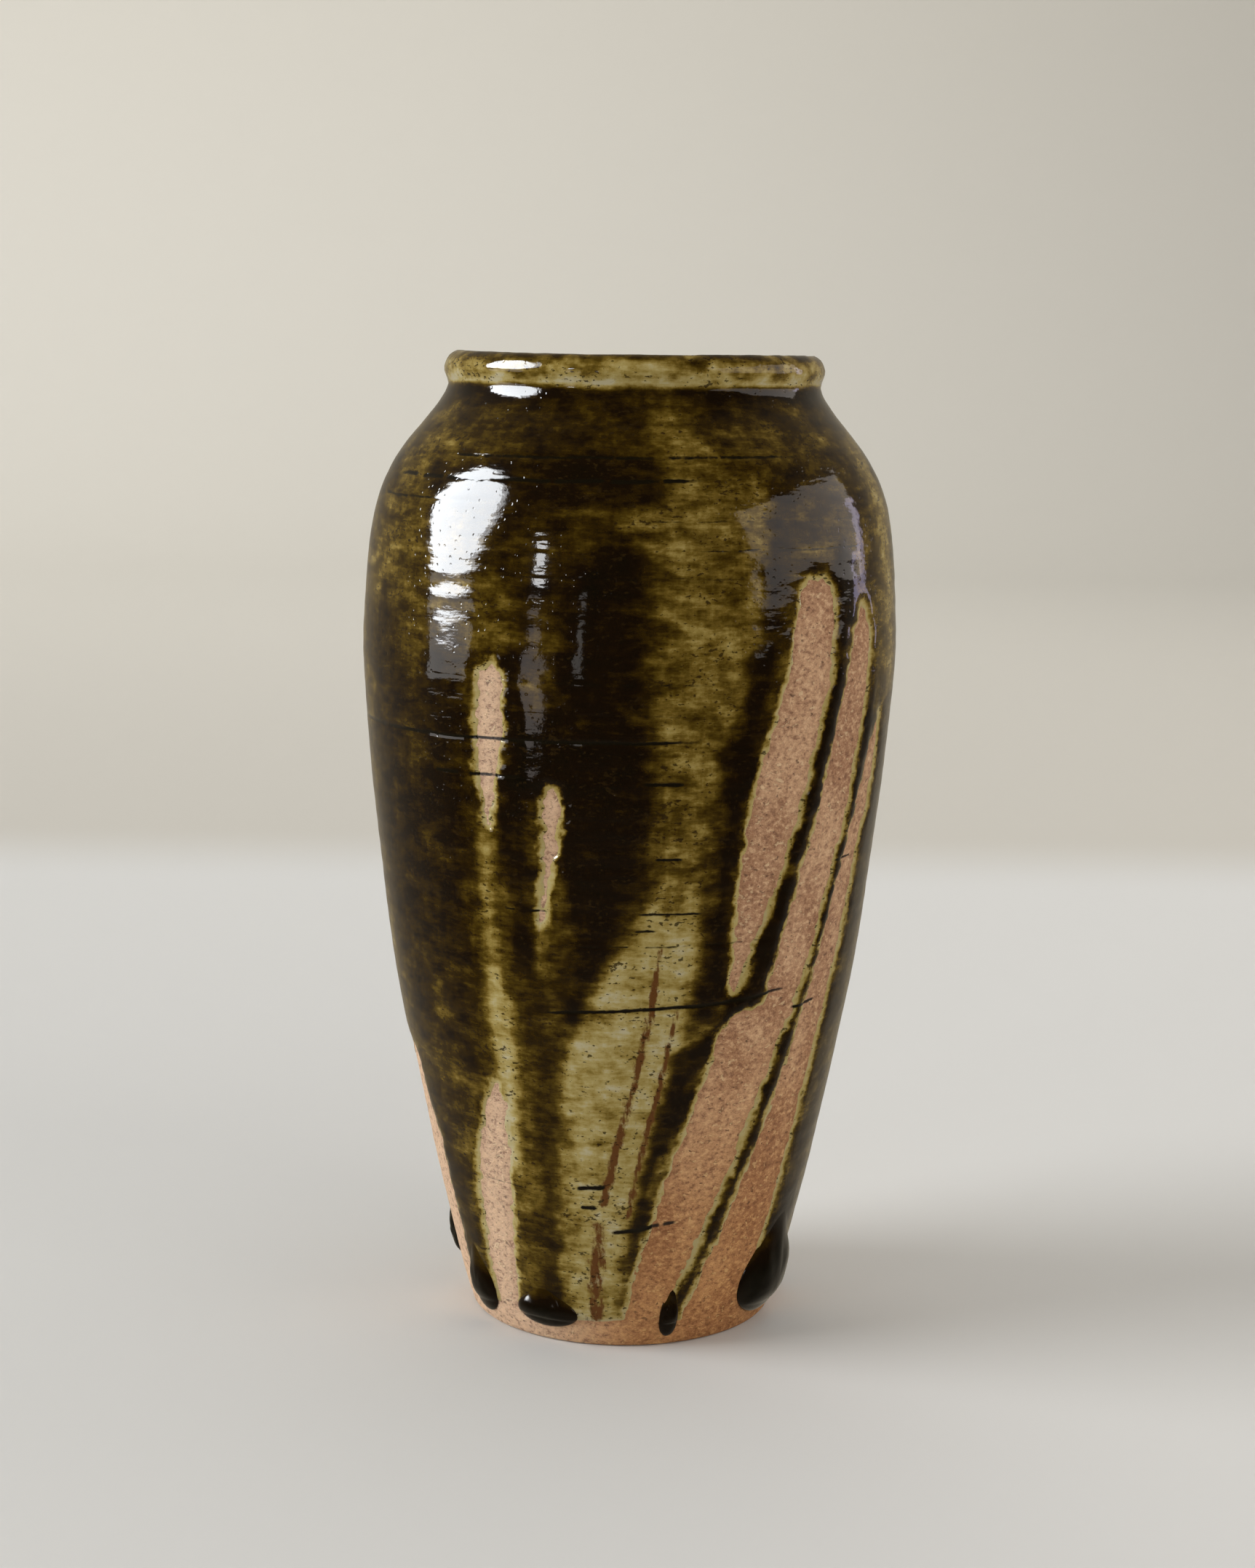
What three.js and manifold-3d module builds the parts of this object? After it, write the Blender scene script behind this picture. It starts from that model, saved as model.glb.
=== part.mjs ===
// A thrown stoneware vase with a runny ash glaze. Millimetres, +Z up, origin on the table at the
// middle of the foot. Angles are in degrees round the vase: 0 faces -Y and 90 faces +X.
import * as THREE from 'three';
import { mergeVertices } from 'three/addons/utils/BufferGeometryUtils.js';
import Module from 'manifold-3d';

const wasm = await Module();
wasm.setup();

// Driving dimensions
const height = 152;
const bellyRadius = 41.6;
const bellyHeight = 110;
const collarRadius = 29.2;
const neckRadius = 28.7;
const footRadius = 24.8;
const footBevelHeight = 1.6;
const footRingInner = 17;
const footRingOuter = 23.4;
const footRecess = 1.5;
const footRecessSlope = 0.8;
const floorHeight = 8;
const glazeLineHeight = 4;
const glazeThickness = 0.6;
const linerThickness = 0.5;
const fitGap = 0.3;
const segmentsRound = 40;
const pointsPerSpan = 2;
const clayInset = glazeThickness + fitGap;
const cutterInnerRadius = 20;
const cutterReach = 30;
const beadRoot = 2;
const beadSides = 14;

// The finished outside, from the foot's bevel up over the lip.
const outside = new THREE.SplineCurve([
  new THREE.Vector2(footRadius, footBevelHeight),
  new THREE.Vector2(footRadius + 0.7, glazeLineHeight),
  new THREE.Vector2(29.3, 20),
  new THREE.Vector2(33.4, 40),
  new THREE.Vector2(37, 60),
  new THREE.Vector2(39.5, 80),
  new THREE.Vector2(41, 96),
  new THREE.Vector2(bellyRadius, bellyHeight),
  new THREE.Vector2(40.1, 127),
  new THREE.Vector2(36.5, 136),
  new THREE.Vector2(30.3, height - 8),
  new THREE.Vector2(neckRadius, height - 5),
  new THREE.Vector2(collarRadius, height - 2.2),
  new THREE.Vector2(collarRadius - 1.5, height),
]);

// The finished inside, from the middle of the floor up to the lip.
const inside = new THREE.SplineCurve([
  new THREE.Vector2(0, floorHeight),
  new THREE.Vector2(14, floorHeight + 0.2),
  new THREE.Vector2(20.5, 11.5),
  new THREE.Vector2(24.2, 22),
  new THREE.Vector2(32.4, 58),
  new THREE.Vector2(36.2, 90),
  new THREE.Vector2(36.8, 112),
  new THREE.Vector2(34.6, 128),
  new THREE.Vector2(28.6, 139),
  new THREE.Vector2(25.4, height - 6),
  new THREE.Vector2(24.9, height - 3),
  new THREE.Vector2(25.5, height - 0.8),
]);

// Where the glaze ran off and left the clay bare. Each window is a list of
// [height, middle angle, half width in degrees] from its top down.
const bareWindows = {
  leftSliver: [[107.5, -29, 0.4], [105, -29.3, 3], [98, -30, 3.4], [92, -30.6, 2.2], [85, -31, 0.4]],
  frontSliver: [[89.5, -16, 0.4], [87.5, -16, 2], [80, -16.6, 1.4], [70, -19, 0.4]],
  rightTear: [[119.5, 42.5, 0.8], [117, 41.8, 5], [105, 39.5, 6], [88, 33.8, 6.6], [74, 30, 5],
    [58.5, 26.3, 0.4]],
  rightRun: [[114.8, 57, 0.6], [112, 57, 3.3], [100, 54.6, 4.7], [85, 50.7, 5.3], [68, 45, 5.4],
    [55, 40, 4.8], [50, 32, 9.6], [36, 26, 9], [20, 17, 8], [2, 7, 6.4]],
  farRightRun: [[98.5, 68, 0.4], [92, 66.6, 2.6], [75, 60.2, 3.4], [55, 54.5, 4.6], [35, 47.3, 7.7],
    [15, 39.3, 11.6], [2, 33, 15.5]],
  leftFootRun: [[43, -35, 0.8], [39, -35.6, 3.4], [28, -39.8, 6.2], [12, -43.4, 5.8], [2, -43.5, 4.8]],
  sideFootRun: [[44, -80, 1.5], [40, -80, 9], [28, -80, 14.5], [2, -80, 15.5]],
  backRun1: [[88, 108, 0.6], [84, 107, 3.5], [60, 100.5, 5.6], [30, 93, 7], [2, 89, 6.5]],
  backRun2: [[62, 136, 0.6], [57, 135, 3.5], [30, 129, 6.2], [2, 124, 7]],
  backTear: [[104, 158, 0.6], [99, 157.4, 3.6], [80, 153.5, 5], [58, 149, 0.5]],
  backRun3: [[50, 176, 0.8], [45, 176, 4.6], [22, 170.5, 7.8], [2, 167, 7]],
  backRun4: [[92, 205, 0.6], [87, 204.4, 3.2], [60, 199, 5], [30, 192.5, 7.4], [2, 187, 8]],
  backSliver: [[70, 232, 0.4], [66, 231.5, 2.6], [55, 229.5, 3], [44, 227.6, 0.4]],
  backRun5: [[38, 246, 0.8], [33, 245.2, 4.2], [14, 242.4, 6.5], [2, 241, 6.5]],
};

// Beads at the foot where the runs stopped: [middle angle, height, half width, half height, proud].
const beads = {
  glaze_bead_front_left: [-28, 5.2, 4.9, 4, 1.4],
  glaze_bead_left: [-57, 6.2, 3.4, 4.6, 1.3],
  glaze_bead_far_left: [-99, 9, 2.4, 4.4, 1.7],
  glaze_bead_front_tip: [15.5, 5.6, 1.5, 4.2, 0.9],
  glaze_bead_right: [61.5, 8.6, 8, 7.2, 2.2],
  glaze_bead_back_right: [106, 6.4, 4.4, 5, 1.8],
  glaze_bead_back: [146, 5.8, 5, 4.4, 1.8],
  glaze_bead_back_left: [215, 6, 5.6, 4.6, 1.8],
};

const finishes = {
  clay: new THREE.MeshStandardMaterial({ color: 0xb98562, roughness: 0.85, metalness: 0 }),
  glaze: new THREE.MeshStandardMaterial({ color: 0x4a3d14, roughness: 0.12, metalness: 0 }),
  liner: new THREE.MeshStandardMaterial({ color: 0x2e230f, roughness: 0.15, metalness: 0 }),
  bead: new THREE.MeshStandardMaterial({ color: 0x0d0b09, roughness: 0.06, metalness: 0 }),
};

// Points along a curve, moved sideways by a distance: to the right of the way the curve runs.
function offsetPoints(curve, distance) {
  const count = (curve.points.length - 1) * pointsPerSpan;
  return Array.from({ length: count + 1 }, (unused, step) => {
    const point = curve.getPoint(step / count);
    const tangent = curve.getTangent(step / count);
    const onAxis = point.x === 0;
    const radius = onAxis ? 0 : point.x + tangent.y * distance;
    return new THREE.Vector2(radius, point.y - tangent.x * distance);
  });
}

function revolve(profile) {
  return new THREE.LatheGeometry(profile, segmentsRound).rotateX(Math.PI / 2);
}

function closedRing(profile) {
  return revolve([...profile, profile[0].clone()]);
}

function toSolid(geometry) {
  const bare = geometry.clone();
  bare.deleteAttribute('normal');
  bare.deleteAttribute('uv');
  const merged = mergeVertices(bare, 1e-4);
  const mesh = new wasm.Mesh({
    numProp: 3,
    vertProperties: new Float32Array(merged.attributes.position.array),
    triVerts: new Uint32Array(merged.index.array),
  });
  mesh.merge();
  return new wasm.Manifold(mesh);
}

function toGeometry(solid) {
  const mesh = solid.getMesh();
  const geometry = new THREE.BufferGeometry();
  geometry.setAttribute('position', new THREE.BufferAttribute(mesh.vertProperties, 3));
  geometry.setIndex(new THREE.BufferAttribute(mesh.triVerts, 1));
  geometry.computeVertexNormals();
  return geometry;
}

function radiusAt(points, atHeight) {
  const upper = points.findIndex((point) => point.y >= atHeight);
  const above = points[upper];
  const below = points[upper - 1];
  return THREE.MathUtils.mapLinear(atHeight, below.y, above.y, below.x, above.x);
}

// The clay: foot ring with a trimmed recess, wall, collar and lip, open at the top.
function clayProfile() {
  const wallOutside = offsetPoints(outside, -clayInset);
  const wallInside = offsetPoints(inside, linerThickness + fitGap);
  return [
    new THREE.Vector2(0, footRecess),
    new THREE.Vector2(footRingInner - footRecessSlope, footRecess),
    new THREE.Vector2(footRingInner, 0),
    new THREE.Vector2(footRingOuter, 0),
    ...wallOutside,
    ...wallInside.reverse(),
  ];
}

// The liner glaze: a thin cup that lies on the inside of the clay.
function linerProfile() {
  const back = offsetPoints(inside, linerThickness);
  const front = offsetPoints(inside, 0);
  return [...back, ...front.reverse()];
}

// The outer glaze before it is cut: a thin ring wall from the glaze line up over the lip.
function coatProfile() {
  const back = offsetPoints(outside, -glazeThickness).slice(pointsPerSpan);
  const front = offsetPoints(outside, 0).slice(pointsPerSpan);
  return [...front, ...back.reverse()];
}

// A radial wedge that cuts one bare window out of the coat. The window's outline is drawn flat, with
// its angle along X and its height along Y, then extruded and wrapped round the vase.
function windowCutter(stations) {
  const right = stations.map(([z, middle, half]) => new THREE.Vector2(middle + half, z));
  const left = stations.map(([z, middle, half]) => new THREE.Vector2(middle - half, z)).reverse();
  const outline = new THREE.Shape([...right, ...left]);
  const extrusion = { depth: cutterReach, steps: 1, bevelEnabled: false };
  const geometry = new THREE.ExtrudeGeometry(outline, extrusion);
  const position = geometry.attributes.position;
  for (let i = 0; i < position.count; i += 1) {
    const angle = THREE.MathUtils.degToRad(position.getX(i));
    const radius = cutterInnerRadius + position.getZ(i);
    position.setXYZ(i, radius * Math.sin(angle), -radius * Math.cos(angle), position.getY(i));
  }
  return geometry;
}

// A teardrop of glaze, round below and drawn out above, lying against the leaning wall.
function beadGeometry([angle, middle, halfWidth, halfHeight, proud], growth) {
  const drop = new THREE.SplineCurve([
    new THREE.Vector2(0, -1),
    new THREE.Vector2(0.72, -0.72),
    new THREE.Vector2(1, -0.1),
    new THREE.Vector2(0.68, 0.6),
    new THREE.Vector2(0, 1.25),
  ]);
  const profile = drop.getPoints(8);
  profile[0].x = 0;
  profile[profile.length - 1].x = 0;
  const halfDepth = proud + beadRoot;
  const wall = offsetPoints(outside, -glazeThickness);
  const wallRadius = radiusAt(wall, middle);
  const lean = Math.atan2(radiusAt(wall, middle + halfHeight) - wallRadius, halfHeight);
  return new THREE.LatheGeometry(profile, beadSides)
    .rotateX(Math.PI / 2)
    .scale(halfWidth + growth, halfDepth + growth, halfHeight + growth)
    .rotateX(lean)
    .translate(0, -(wallRadius + proud - halfDepth), middle)
    .rotateZ(THREE.MathUtils.degToRad(angle));
}

function named(name, geometry, material) {
  const mesh = new THREE.Mesh(geometry, material);
  mesh.name = name;
  return mesh;
}

const vase = new THREE.Group();
vase.add(named('stoneware_body', revolve(clayProfile()), finishes.clay));
vase.add(named('liner_glaze', revolve(linerProfile()), finishes.liner));

let coat = toSolid(closedRing(coatProfile()));
for (const stations of Object.values(bareWindows)) {
  coat = coat.subtract(toSolid(windowCutter(stations)));
}
for (const bead of Object.values(beads)) {
  coat = coat.subtract(toSolid(beadGeometry(bead, fitGap)));
}
vase.add(named('outer_glaze', toGeometry(coat), finishes.glaze));

const wallWithGap = offsetPoints(outside, -glazeThickness);
const wallSolid = toSolid(revolve([
  new THREE.Vector2(0, -1),
  new THREE.Vector2(wallWithGap[0].x, -1),
  ...wallWithGap,
  new THREE.Vector2(0, height),
]));
for (const [name, bead] of Object.entries(beads)) {
  const lump = toSolid(beadGeometry(bead, 0)).subtract(wallSolid);
  vase.add(named(name, toGeometry(lump), finishes.bead));
}

export default vase;
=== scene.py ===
"""Looks for a thrown stoneware vase with a runny ash glaze over bare clay.

Every surface is one outline turned round the axis, moved in or out by fields over (angle, height):
the potter's throwing ridges, the thickness of the glaze, and the windows where it ran off the clay.
Working sizes are millimetres and angles are degrees; 0 faces -Y and 90 faces +X.
"""

import math

import bmesh
import bpy
import numpy as np
from mathutils import Matrix, Vector


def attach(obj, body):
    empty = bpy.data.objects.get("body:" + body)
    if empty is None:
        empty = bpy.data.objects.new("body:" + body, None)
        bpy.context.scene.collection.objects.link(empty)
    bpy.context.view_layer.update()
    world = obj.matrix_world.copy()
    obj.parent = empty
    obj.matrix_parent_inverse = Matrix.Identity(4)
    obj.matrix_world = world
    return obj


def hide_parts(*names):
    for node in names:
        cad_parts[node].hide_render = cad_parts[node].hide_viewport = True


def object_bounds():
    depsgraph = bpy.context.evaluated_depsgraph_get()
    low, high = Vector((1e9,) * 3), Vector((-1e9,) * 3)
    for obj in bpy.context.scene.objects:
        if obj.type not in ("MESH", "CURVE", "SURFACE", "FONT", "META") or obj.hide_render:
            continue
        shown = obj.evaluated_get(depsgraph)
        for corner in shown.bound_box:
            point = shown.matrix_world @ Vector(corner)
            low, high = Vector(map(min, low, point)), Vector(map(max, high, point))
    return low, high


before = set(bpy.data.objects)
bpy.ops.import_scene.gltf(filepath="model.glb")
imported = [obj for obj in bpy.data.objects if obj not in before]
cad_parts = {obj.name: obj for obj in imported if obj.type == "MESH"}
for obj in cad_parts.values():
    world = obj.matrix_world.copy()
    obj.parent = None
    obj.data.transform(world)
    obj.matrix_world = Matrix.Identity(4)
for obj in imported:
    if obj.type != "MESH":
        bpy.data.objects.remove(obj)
cad_low, cad_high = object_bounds()

MM = 0.001
HEIGHT = round((cad_high.z - cad_low.z) / MM, 1)

# ---------------------------------------------------------------- the form

# (radius, height) of the finished outside, from the foot's bevel up to the crest of the lip.
OUTSIDE = [
    (24.8, 1.6), (25.5, 4), (29.3, 20), (33.4, 40), (37, 60), (39.5, 80), (41, 96), (41.6, 110),
    (40.1, 127), (36.5, 136), (30.3, HEIGHT - 8), (28.7, HEIGHT - 5), (29.2, HEIGHT - 2.2),
    (27.7, HEIGHT),
]
# (radius, height) of the finished inside, from the lip down to the middle of the floor.
INSIDE = [
    (25.5, HEIGHT - 0.8), (24.9, HEIGHT - 3), (25.4, HEIGHT - 6), (28.6, 139), (34.6, 128),
    (36.8, 112), (36.2, 90), (32.4, 58), (24.2, 22), (20.5, 11.5), (14, 8.2), (0, 8),
]
FOOT_RING = [(0, 1.5), (16.2, 1.5), (17, 0.25), (17.6, 0), (23, 0), (24.1, 0.6)]
COAT = 0.44
LINER = 0.4
GLAZE_LINE = 4.2
COLLAR_EDGE = HEIGHT - 4.6
COLUMNS = 512
ROW_STEP = 0.58
STEPS_PER_SPAN = 16

# ---------------------------------------------------------------- the glaze's pattern

# Bare clay: each window is a list of (height, middle angle, half width in degrees) from its top.
BARE = {
    "left_sliver": [(107.2, -29, 0.6), (105, -29.3, 2.6), (98, -30, 3.2), (92, -30.6, 2), (84, -31, 0.3)],
    "front_sliver": [(89, -16, 0.8), (87.5, -16, 1.7), (80, -16.6, 1), (70, -19, 0.3)],
    "right_tear": [(119, 42.5, 1.5), (116.5, 41.8, 5), (105, 39.5, 5.6), (88, 33.8, 6.4), (74, 30, 4.8),
                   (66, 28, 2.2), (59, 26.3, 0.4)],
    "right_run": [(114.4, 57, 1.2), (111.5, 57, 3.2), (100, 54.6, 4.5), (85, 50.7, 5.1), (68, 45, 5.2),
                  (55, 40, 4.8), (50, 32.5, 9), (36, 26, 8.8), (20, 17, 8), (2, 6.8, 6.2)],
    "far_right_run": [(98.5, 68, 0.4), (92, 66.6, 2.4), (75, 60.2, 3.3), (55, 54.5, 4.6), (35, 48.8, 6.6),
                      (15, 40.9, 10.3), (2, 34.5, 13.7)],
    "left_foot_run": [(42.5, -35, 0.8), (39, -35.6, 3), (28, -39.8, 6), (12, -43.4, 5.8), (1, -43.5, 4.8)],
    "side_foot_run": [(44, -80, 1.5), (40, -80, 8), (28, -80, 14), (1, -80, 15.5)],
    "back_run_1": [(88, 108, 0.6), (84, 107, 3.5), (60, 100.5, 5.6), (30, 93, 7), (2, 89, 6.5)],
    "back_run_2": [(62, 136, 0.6), (57, 135, 3.5), (30, 129, 6.2), (2, 124, 7)],
    "back_tear": [(104, 158, 0.6), (99, 157.4, 3.6), (80, 153.5, 5), (58, 149, 0.5)],
    "back_run_3": [(50, 176, 0.8), (45, 176, 4.6), (22, 170.5, 7.8), (2, 167, 7)],
    "back_run_4": [(92, 205, 0.6), (87, 204.4, 3.2), (60, 199, 5), (30, 192.5, 7.4), (2, 187, 8)],
    "back_sliver": [(70, 232, 0.4), (66, 231.5, 2.6), (55, 229.5, 3), (44, 227.6, 0.4)],
    "back_run_5": [(38, 246, 0.8), (33, 245.2, 4.2), (14, 242.4, 6.5), (2, 241, 6.5)],
}

# Thickness of the glaze before runs and patches: (height, thickness in mm).
COAT_LEVELS = [
    (0, 0.40), (12, 0.38), (30, 0.38), (50, 0.40), (70, 0.44), (95, 0.46), (112, 0.43), (124, 0.40),
    (130, 0.42), (133, 0.54), (136, 0.53), (138.5, 0.42), (141.5, 0.43), (143.5, 0.55), (146.6, 0.66),
    # At 147.8 mm, the collar's lower edge, the pale cream is partly real thin glaze, partly a painted
    # highlight.
    (147.3, 0.34), (147.8, 0.08), (149, 0.25), (150.6, 0.28), (151.4, 0.42), (HEIGHT + 1, 0.46),
]

# Runs of thick glaze: (extra thickness, feather in mm, stations as above).
THICK_RUNS = [
    (0.28, 3.0, [(20, 62, 5), (12, 61.5, 7.5), (4, 61, 8)]),
    (0.11, 5.0, [(136, -14, 10), (124, -15, 12), (114, -16, 8)]),
    (0.20, 2.2, [(6.5, -26, 5.5), (3, -27, 7)]),
    (0.25, 2.4, [(124, -4, 4), (114, -4, 8), (100, -6, 10), (93, -10, 13), (85, -8, 11), (77, -5, 8),
                 (69, -6, 5), (64, -8, 4), (56, -12, 2)]),
    (0.20, 1.6, [(108, -24, 2), (85, -24, 3.2), (66, -23, 3.2)]),
    (0.10, 2.0, [(66, -23, 3.2), (44, -19.5, 4.5), (30, -19, 5), (12, -22, 6.2), (3, -26, 7)]),
    (0.26, 1.6, [(128, 31, 2), (112, 29, 2.2), (95, 24, 2.6), (78, 21.5, 2.2), (62, 21, 2.2), (56, 19, 3.6)]),
    (0.28, 1.2, [(56.5, 30, 1), (53.5, 25, 3), (48, 17, 3.2), (38, 11, 3), (27, 6.5, 2), (20, 4.5, 0.6)]),
    (0.28, 1.5, [(124, 50, 2), (108, 48.6, 2.2), (90, 44, 2.2), (74, 38.6, 2.4), (62, 33, 3), (56, 29, 4)]),
    (0.20, 1.0, [(104, 63, 1.2), (88, 59, 1.4), (70, 53, 1.8), (52, 45.8, 2.4), (34, 38.0, 2.6),
                 (18, 27.6, 2.5), (4, 17.4, 2.4)]),
    (0.12, 2.4, [(92, 76, 4), (70, 70, 5), (45, 65, 5.5), (20, 62, 7), (5, 61, 8)]),
    (0.14, 4.0, [(112, -60, 6), (95, -62, 10), (70, -60, 12), (45, -58, 8), (25, -58.5, 6.5), (5, -57, 5.5)]),
    (0.16, 3.0, [(108, -42, 5), (80, -42, 7), (55, -42, 6), (46, -42, 4)]),
    (0.30, 2.2, [(120, -98, 5), (80, -99, 6), (40, -98.5, 3), (6, -99, 2.4)]),
    (0.34, 2.4, [(126, 128, 6), (95, 122, 7), (60, 117, 6), (30, 109, 5), (5, 106, 6)]),
    (0.34, 2.2, [(110, 148, 3), (80, 142, 4), (45, 147, 5), (5, 146, 7)]),
    (0.30, 2.4, [(130, 182, 8), (100, 180, 7), (70, 184, 5), (52, 186, 3)]),
    (0.34, 2.4, [(122, 222, 7), (90, 218, 7), (60, 214, 6), (25, 213, 8), (5, 215, 9)]),
    (0.28, 2.4, [(116, 250, 6), (80, 250, 7), (48, 252, 5), (20, 256, 3), (6, 259, 2.5)]),
]

# Where the glaze lies thin and breaks to khaki and cream: (thickness left, feather, stations).
THIN_PATCHES = [
    (0.14, 1.6, [(74, 11, 5), (66, 8.5, 8.5), (56, 3, 12), (44, -2.5, 13.5), (30, -6.5, 11.5), (16, -9, 9),
                 (5, -9, 9)]),
    (0.33, 3.0, [(141, 10, 6), (130, 18, 12), (112, 18, 11), (98, 14, 8), (84, 12, 6), (76, 11, 5)]),
    (0.38, 3.5, [(138, -62, 9), (124, -60, 10), (110, -57, 7)]),
    (0.22, 1.6, [(82, -32, 1.2), (70, -32, 1.6), (62, -31.8, 2)]),
    (0.12, 1.4, [(60, -31.6, 2.2), (54, -30.8, 3.6), (44, -30.5, 3), (30, -31.5, 1.2)]),
    (0.24, 1.0, [(69, -19.4, 0.8), (63, -20, 0.6)]),
    (0.25, 3.0, [(136, 72, 6), (118, 72, 5), (104, 74, 3)]),
    (0.17, 1.0, [(34, -14.5, 1.2), (20, -16.5, 1.6), (6, -18.5, 1.6)]),
    (0.31, 3.0, [(134, 104, 9), (116, 100, 8), (96, 96, 5)]),
    (0.21, 1.8, [(66, 160, 3), (48, 158, 8), (24, 154, 5), (6, 153, 4)]),
    (0.30, 3.0, [(132, 202, 8), (112, 200, 6), (96, 202, 4)]),
    (0.22, 1.8, [(60, 238, 3), (44, 236, 7), (20, 229, 6), (5, 230, 6)]),
    (0.32, 3.2, [(128, 268, 9), (104, 272, 7)]),
]

# Rust-red streaks where iron bled through: (feather, stations).
RUST = [
    (0.7, [(66, 8, 0.5), (56, 6.2, 1), (45, 3, 1), (34, -1.5, 1.2), (25, -5, 1.4)]),
    (0.6, [(58, 13, 0.4), (45, 9.4, 0.9), (33, 5.2, 0.9), (23, 2, 0.8)]),
    (1.6, [(21, -6.5, 1.6), (12, -8, 2.6), (5, -8.5, 2.6)]),
    (0.9, [(60, 161, 1), (40, 158, 1.4), (20, 155, 1.6)]),
    (0.8, [(50, 237, 0.8), (30, 231, 1.4), (12, 229, 1.4)]),
]

# Drag lines cut by grit on the wheel: (height at angle 0, rise per degree, from, to, depth, width,
# how broken up from 0 to 1).
DRAG_LINES = [
    (97.0, 0.010, -92, 22, 0.20, 0.30, 0.1),
    (91.4, 0.004, -48, -20, 0.14, 0.30, 0.5),
    (91.0, 0.004, 3, 12, 0.16, 0.34, 0.2),
    (56.6, 0.040, -24, 47, 0.22, 0.32, 0.0),
    (52.6, 0.050, 44, 54, 0.16, 0.30, 0.0),
    (66.5, 0.008, -14, 38, 0.10, 0.18, 0.7),
    (71.6, 0.008, -28, -17, 0.12, 0.20, 0.5),
    (71.4, 0.012, 2, 18, 0.13, 0.22, 0.2),
    (68.9, 0.0, 2, 7, 0.12, 0.24, 0.0),
    (79.8, 0.006, 6, 12, 0.14, 0.26, 0.1),
    (76.0, 0.020, 52, 66, 0.12, 0.24, 0.3),
    (128.6, 0.0, -6, 86, 0.08, 0.20, 0.5),
    (124.5, 0.0, 10, 62, 0.10, 0.20, 0.3),
    (134.2, 0.004, -74, 22, 0.14, 0.34, 0.3),
    (131.0, 0.002, -88, -30, 0.10, 0.26, 0.3),
    (137.4, 0.003, -60, 50, 0.10, 0.30, 0.4),
    (120.6, 0.002, -40, 60, 0.07, 0.22, 0.6),
    (105.5, 0.0, -88, 30, 0.07, 0.22, 0.6),
    (101.0, 0.0, -60, 20, 0.06, 0.20, 0.6),
    (85.6, 0.004, -80, 22, 0.07, 0.20, 0.6),
    (114.0, 0.0, -20, 28, 0.06, 0.18, 0.6),
    (20.2, 0.080, -4, 18, 0.20, 0.42, 0.0),
    (27.8, 0.030, -13, -4, 0.18, 0.42, 0.0),
    (24.2, 0.0, -12, -7, 0.16, 0.36, 0.0),
    (26.4, 0.004, -48, -18, 0.08, 0.22, 0.5),
    (40.2, 0.0, -2, 14, 0.07, 0.18, 0.7),
    (88.0, 0.006, 100, 168, 0.18, 0.28, 0.2),
    (49.0, 0.010, 196, 258, 0.18, 0.28, 0.2),
    (113.5, 0.0, 180, 240, 0.12, 0.24, 0.4),
    (31.0, 0.006, 122, 176, 0.14, 0.26, 0.3),
]

# Beads of pooled glaze: (middle angle, height, half width, half height, tail, how far it stands out).
BEADS = {
    "glaze_bead_front_left": (-27, 4.9, 5.4, 2.4, 5, 1.1),
    "glaze_bead_left": (-57, 5.6, 3.4, 3.8, 9, 1.1),
    "glaze_bead_far_left": (-99, 8.6, 2.2, 3.6, 8, 1.6),
    "glaze_bead_front_tip": (17.2, 4.2, 1.5, 2.6, 8, 0.7),
    "glaze_bead_right": (61.5, 7.4, 7.6, 5.4, 13, 1.9),
    "glaze_bead_back_right": (106, 5.6, 4.2, 4, 10, 1.6),
    "glaze_bead_back": (146, 5.2, 5, 3.6, 10, 1.6),
    "glaze_bead_back_left": (215, 5.4, 5.6, 3.8, 10, 1.6),
}

# ---------------------------------------------------------------- number helpers


def smoothstep(low, high, value):
    """0 below low, 1 above high, and a smooth rise between them."""
    t = np.clip((value - low) / (high - low), 0, 1)
    return t * t * (3 - 2 * t)


def spline(points, per_span=STEPS_PER_SPAN):
    """Points along a Catmull-Rom curve through the given points."""
    p = np.array([points[0], *points, points[-1]], float)
    t = np.linspace(0, 1, per_span, endpoint=False)[:, None]
    spans = []
    for a, b, c, d in zip(p, p[1:], p[2:], p[3:]):
        cubic = (3 * b - a - 3 * c + d) * t ** 3
        square = (2 * a - 5 * b + 4 * c - d) * t ** 2
        spans.append(0.5 * (2 * b + (c - a) * t + square + cubic))
    return np.vstack([*spans, p[-1:]])


def lattice(ix, iy, iz, seed):
    """A repeatable random number from 0 to 1 for each whole-number place."""
    n = (ix * 73856093) ^ (iy * 19349663) ^ (iz * 83492791) ^ (seed * 2654435761)
    n = (n ^ (n >> 13)) & 0xFFFFFFFF
    n = (n * 1274126177) & 0xFFFFFFFF
    n = n ^ (n >> 16)
    return (n & 0xFFFFFF) / float(0xFFFFFF)


def noise(theta, z, wide, tall, seed, octaves=3):
    """Smooth noise from -1 to 1 on the wall, with features so many mm wide and tall."""
    radius = 38.0
    x = radius * np.sin(np.radians(theta)) / wide
    y = radius * np.cos(np.radians(theta)) / wide
    w = z / tall
    total = np.zeros(np.broadcast(theta, z).shape)
    amplitude = 1.0
    reach = 0.0
    for octave in range(octaves):
        parts = [np.broadcast_to(v * 2 ** octave + 31.7 * octave, total.shape) for v in (x, y, w)]
        whole = [np.floor(v).astype(np.int64) for v in parts]
        fade = [(v - i) for v, i in zip(parts, whole)]
        fade = [f * f * f * (f * (f * 6 - 15) + 10) for f in fade]
        value = 0
        for corner in range(8):
            step = [(corner >> k) & 1 for k in range(3)]
            weight = np.prod([f if s else 1 - f for f, s in zip(fade, step)], axis=0)
            value = value + weight * lattice(*[i + s for i, s in zip(whole, step)], seed + octave)
        total += amplitude * (2 * value - 1)
        reach += amplitude
        amplitude *= 0.5
    return total / reach


def turned(theta):
    """The same angle, from -100 to 260."""
    return (np.asarray(theta) + 100) % 360 - 100


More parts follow.
